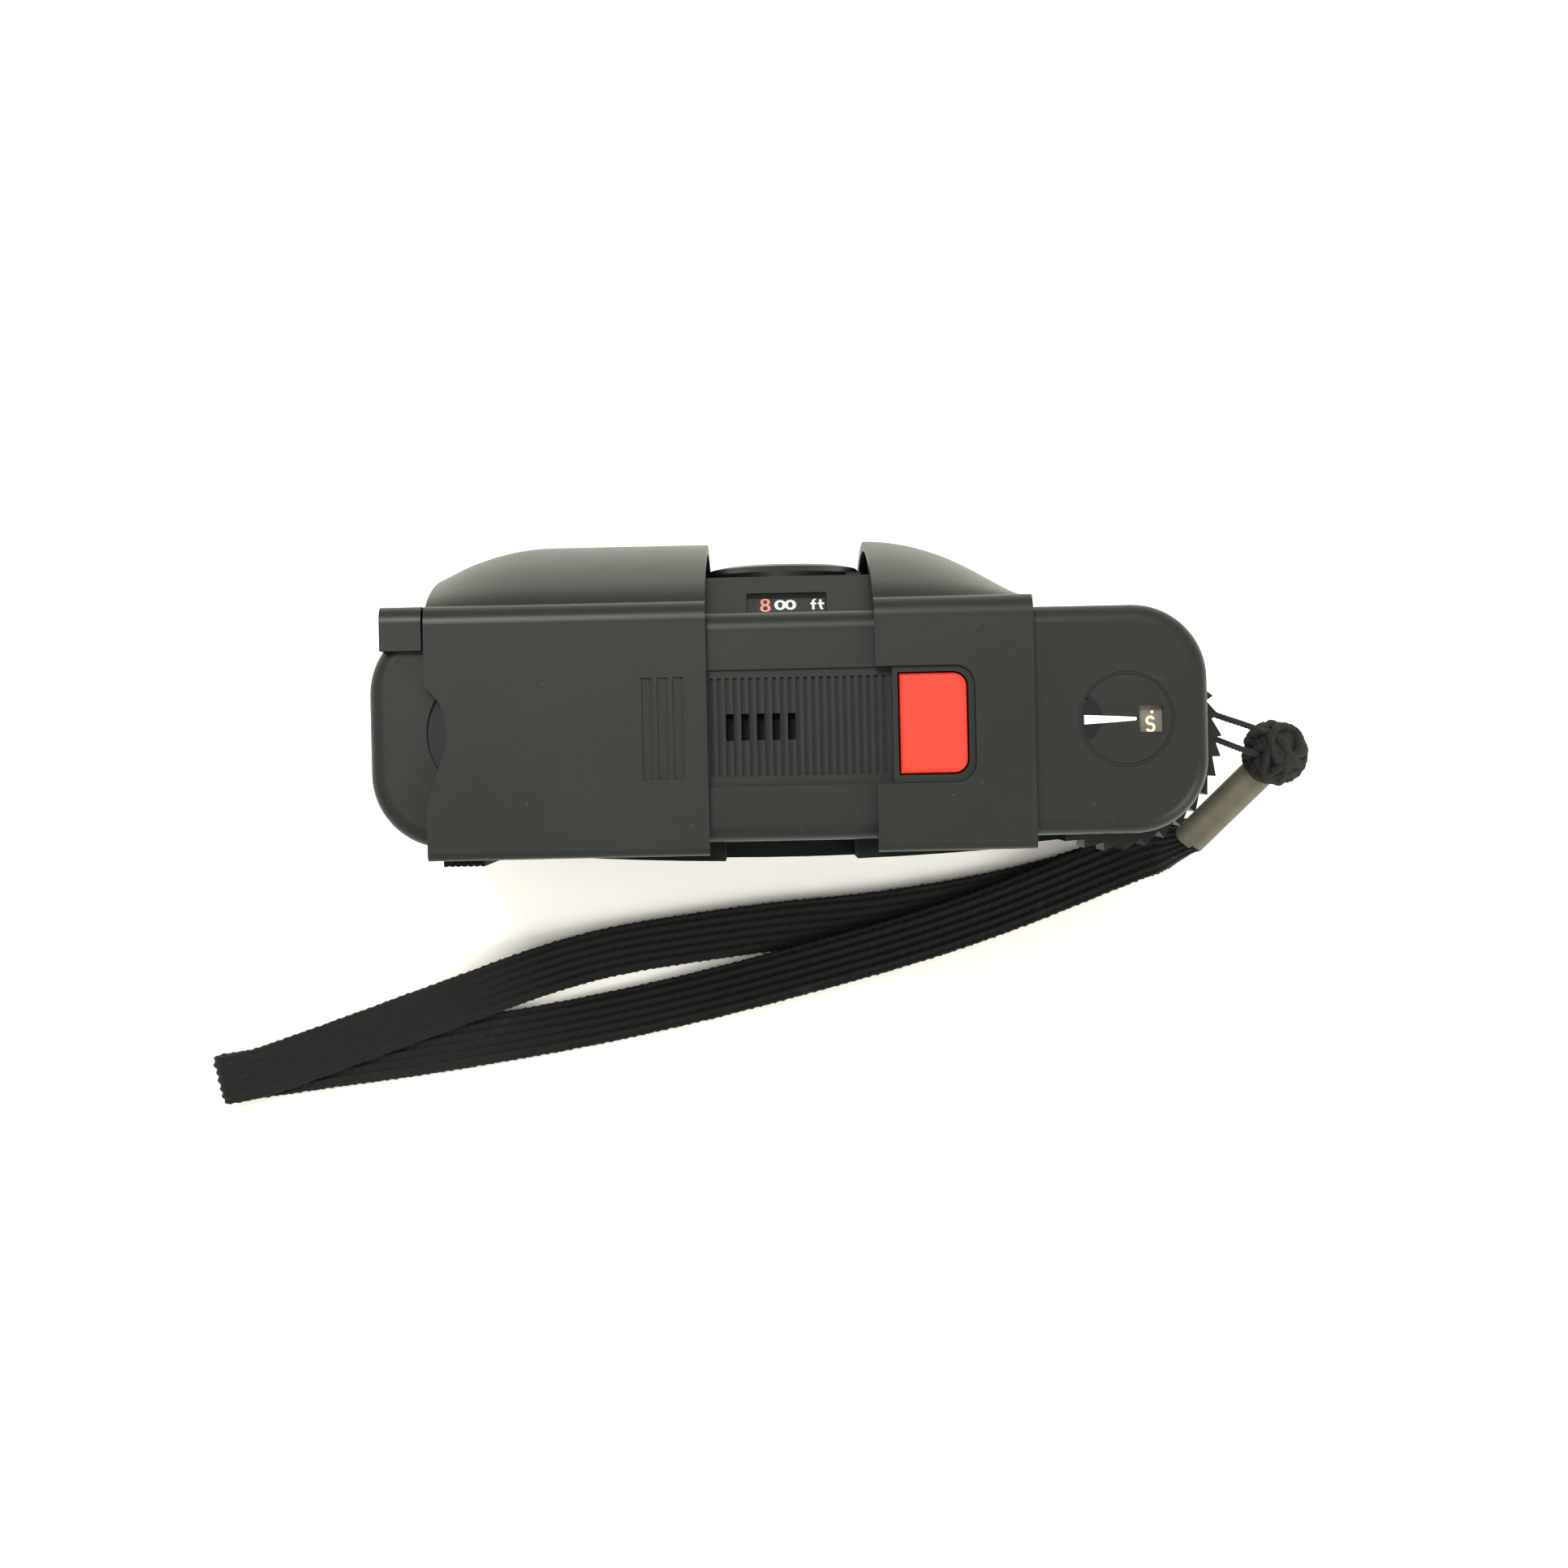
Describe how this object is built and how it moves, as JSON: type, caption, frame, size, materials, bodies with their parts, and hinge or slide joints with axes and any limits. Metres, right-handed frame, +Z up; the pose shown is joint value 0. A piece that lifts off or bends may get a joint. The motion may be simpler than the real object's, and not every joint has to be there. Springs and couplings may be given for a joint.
{
  "type": "compact film camera",
  "caption": "Pocket 35 mm rangefinder film camera with a sliding clamshell lens cover, top shutter button, advance thumbwheel, hinged back and a flat wrist strap.",
  "frame": {"origin": "centre of the camera's box, without the strap, on the surface it stands on", "axes": "+Z up, lens facing -Y, film cassette end towards +X"},
  "size_m": [0.1507, 0.0758, 0.0645],
  "materials": {
    "case_plastic": "fine-grained satin black moulding",
    "cover_plastic": "fine-grained satin black moulding",
    "black_metal": "satin black paint",
    "trim_plastic": "satin black moulding",
    "red_plastic": "satin orange-red moulding",
    "glass": "coated optical glass",
    "steel": "plain steel",
    "chrome": "bright plated",
    "mirror": "front-silvered",
    "dial_plastic": "black with printed figures",
    "board": "lacquered board",
    "brass": "thin brass disc",
    "braid": "flat black braid",
    "clamp_metal": "dull grey"
  },
  "bodies": {
    "root": {"chassis": "case_plastic", "top_cover": "case_plastic", "bottom_cover": "case_plastic", "front_panel": "case_plastic", "fixed_cover": "cover_plastic", "cover_stop": "cover_plastic", "lens_bezel": "black_metal", "front_lens_cell": "black_metal", "rear_lens_cell": "black_metal", "front_lens": "glass", "rear_lens": "glass", "shutter_plate": "steel", "distance_window": "glass", "viewfinder_window": "glass", "viewfinder_eyepiece": "glass", "beam_splitter": "glass", "rangefinder_window": "glass", "meter_window": "glass", "meter_cell": "board", "counter_plate": "black_metal", "circuit_board": "board", "buzzer": "brass", "door_hinge_pin": "steel", "tripod_socket": "steel", "battery_1": "steel", "battery_2": "steel", "base_screws": "steel", "strap_lug": "steel", "lug_cord": "braid", "strap_knot": "braid", "strap_sleeve": "clamp_metal", "strap_lower_leg": "braid", "strap_fold": "braid", "strap_upper_leg": "braid"},
    "sliding_cover": {"sliding_cover": "cover_plastic"},
    "rear_door": {"rear_door": "black_metal", "pressure_spring": "steel"},
    "pressure_plate": {"pressure_plate": "black_metal"},
    "shutter_button": {"shutter_button": "red_plastic"},
    "advance_wheel": {"advance_wheel": "trim_plastic", "advance_shaft": "steel"},
    "takeup_spool": {"takeup_spool": "trim_plastic"},
    "film_sprocket": {"film_sprocket": "trim_plastic"},
    "counter_dial": {"counter_dial": "dial_plastic"},
    "rewind_sleeve": {"rewind_bush": "steel"},
    "rewind_shaft": {"rewind_knob": "black_metal", "rewind_fork": "steel"},
    "rewind_crank": {"rewind_crank": "chrome"},
    "crank_grip": {"crank_grip": "chrome"},
    "rewind_release": {"rewind_release": "steel"},
    "focus_ring": {"focus_ring": "black_metal"},
    "distance_scale": {"distance_scale": "dial_plastic"},
    "rangefinder_mirror": {"rangefinder_mirror": "mirror"},
    "aperture_lever": {"aperture_lever": "black_metal"},
    "film_speed_lever": {"film_speed_lever": "black_metal"},
    "shutter_blade_1": {"shutter_blade_1": "steel"},
    "shutter_blade_2": {"shutter_blade_2": "steel"},
    "check_lever": {"check_lever": "black_metal"},
    "battery_cap": {"battery_cap": "black_metal"}
  },
  "joints": [
    {"name": "cover_slide", "type": "slide", "parent": "root", "child": "sliding_cover", "axis": [-1, 0, 0], "range_m": [0, 0.0198]},
    {"name": "door_hinge", "type": "hinge", "parent": "root", "child": "rear_door", "pos_m": [-0.04325, 0.017, 0.03], "axis": [0, 0, 1], "range_deg": [0, 80]},
    {"name": "plate_float", "type": "slide", "parent": "rear_door", "child": "pressure_plate", "axis": [0, 1, 0], "range_m": [0, 0.0003], "stiffness_N_per_m": 300, "springref_m": -0.0005},
    {"name": "button_press", "type": "slide", "parent": "root", "child": "shutter_button", "axis": [0, 0, -1], "range_m": [0, 0.0005], "stiffness_N_per_m": 400, "springref_m": -0.0002},
    {"name": "wheel_turn", "type": "hinge", "parent": "root", "child": "advance_wheel", "pos_m": [-0.0379, 0.0064, 0.054], "axis": [0, 0, 1], "continuous": true},
    {"name": "spool_turn", "type": "hinge", "parent": "root", "child": "takeup_spool", "pos_m": [-0.0379, 0.0064, 0.03], "axis": [0, 0, 1], "continuous": true},
    {"name": "sprocket_turn", "type": "hinge", "parent": "root", "child": "film_sprocket", "pos_m": [-0.02479, 0.0079, 0.03], "axis": [0, 0, 1], "continuous": true},
    {"name": "counter_turn", "type": "hinge", "parent": "root", "child": "counter_dial", "pos_m": [-0.0393, 0.00395, 0.061], "axis": [0, 0, 1], "continuous": true},
    {"name": "rewind_pull", "type": "slide", "parent": "root", "child": "rewind_sleeve", "axis": [0, 0, -1], "range_m": [0, 0.005], "stiffness_N_per_m": 40, "springref_m": -0.002},
    {"name": "rewind_turn", "type": "hinge", "parent": "rewind_sleeve", "child": "rewind_shaft", "pos_m": [0.0367, 0.00395, 0.004], "axis": [0, 0, 1], "continuous": true},
    {"name": "crank_fold", "type": "hinge", "parent": "rewind_shaft", "child": "rewind_crank", "pos_m": [0.0421, 0.00395, 0.0028], "axis": [0, -1, 0], "range_deg": [0, 110]},
    {"name": "grip_turn", "type": "hinge", "parent": "rewind_crank", "child": "crank_grip", "pos_m": [0.0315, 0.00395, 0.0022], "axis": [0, 0, 1], "continuous": true},
    {"name": "release_push", "type": "slide", "parent": "root", "child": "rewind_release", "axis": [0, 0, 1], "range_m": [0, 0.0006], "stiffness_N_per_m": 100, "springref_m": -0.0005},
    {"name": "focus_turn", "type": "hinge", "parent": "root", "child": "focus_ring", "pos_m": [0.00108, -0.0127, 0.03], "axis": [0, 1, 0], "range_deg": [-42, 8]},
    {"name": "scale_slide", "type": "slide", "parent": "root", "child": "distance_scale", "axis": [1, 0, 0], "range_m": [-0.0026, 0.0006]},
    {"name": "mirror_turn", "type": "hinge", "parent": "root", "child": "rangefinder_mirror", "pos_m": [0.00928, -0.0114, 0.0504], "axis": [0, 0, 1], "range_deg": [-3, 1]},
    {"name": "aperture_slide", "type": "slide", "parent": "root", "child": "aperture_lever", "axis": [0, 0, 1], "range_m": [-0.004, 0.004]},
    {"name": "speed_slide", "type": "slide", "parent": "root", "child": "film_speed_lever", "axis": [1, 0, 0], "range_m": [-0.004, 0.004]},
    {"name": "blade_1_turn", "type": "hinge", "parent": "root", "child": "shutter_blade_1", "pos_m": [0.01057, -0.007, 0.03], "axis": [0, 1, 0], "range_deg": [0, 55], "stiffness_Nm_per_rad": 0.0002, "springref_deg": -17.19},
    {"name": "blade_2_turn", "type": "hinge", "parent": "root", "child": "shutter_blade_2", "pos_m": [-0.00843, -0.007, 0.03], "axis": [0, 1, 0], "range_deg": [0, 55]},
    {"name": "check_lever_turn", "type": "hinge", "parent": "root", "child": "check_lever", "pos_m": [0.00808, -0.0048, 0.0025], "axis": [0, 0, -1], "range_deg": [-80, 0]},
    {"name": "cap_turn", "type": "hinge", "parent": "root", "child": "battery_cap", "pos_m": [0.00047, 0.007, 0.0027], "axis": [0, 0, 1], "continuous": true}
  ],
  "couplings": [
    {"joint": "spool_turn", "follows": "wheel_turn", "ratio": 1},
    {"joint": "sprocket_turn", "follows": "wheel_turn", "ratio": -1},
    {"joint": "counter_turn", "follows": "wheel_turn", "ratio": 0.036},
    {"joint": "scale_slide", "follows": "focus_turn", "m_per_rad": 0.0033},
    {"joint": "mirror_turn", "follows": "focus_turn", "ratio": 0.05},
    {"joint": "blade_2_turn", "follows": "blade_1_turn", "ratio": 1}
  ]
}
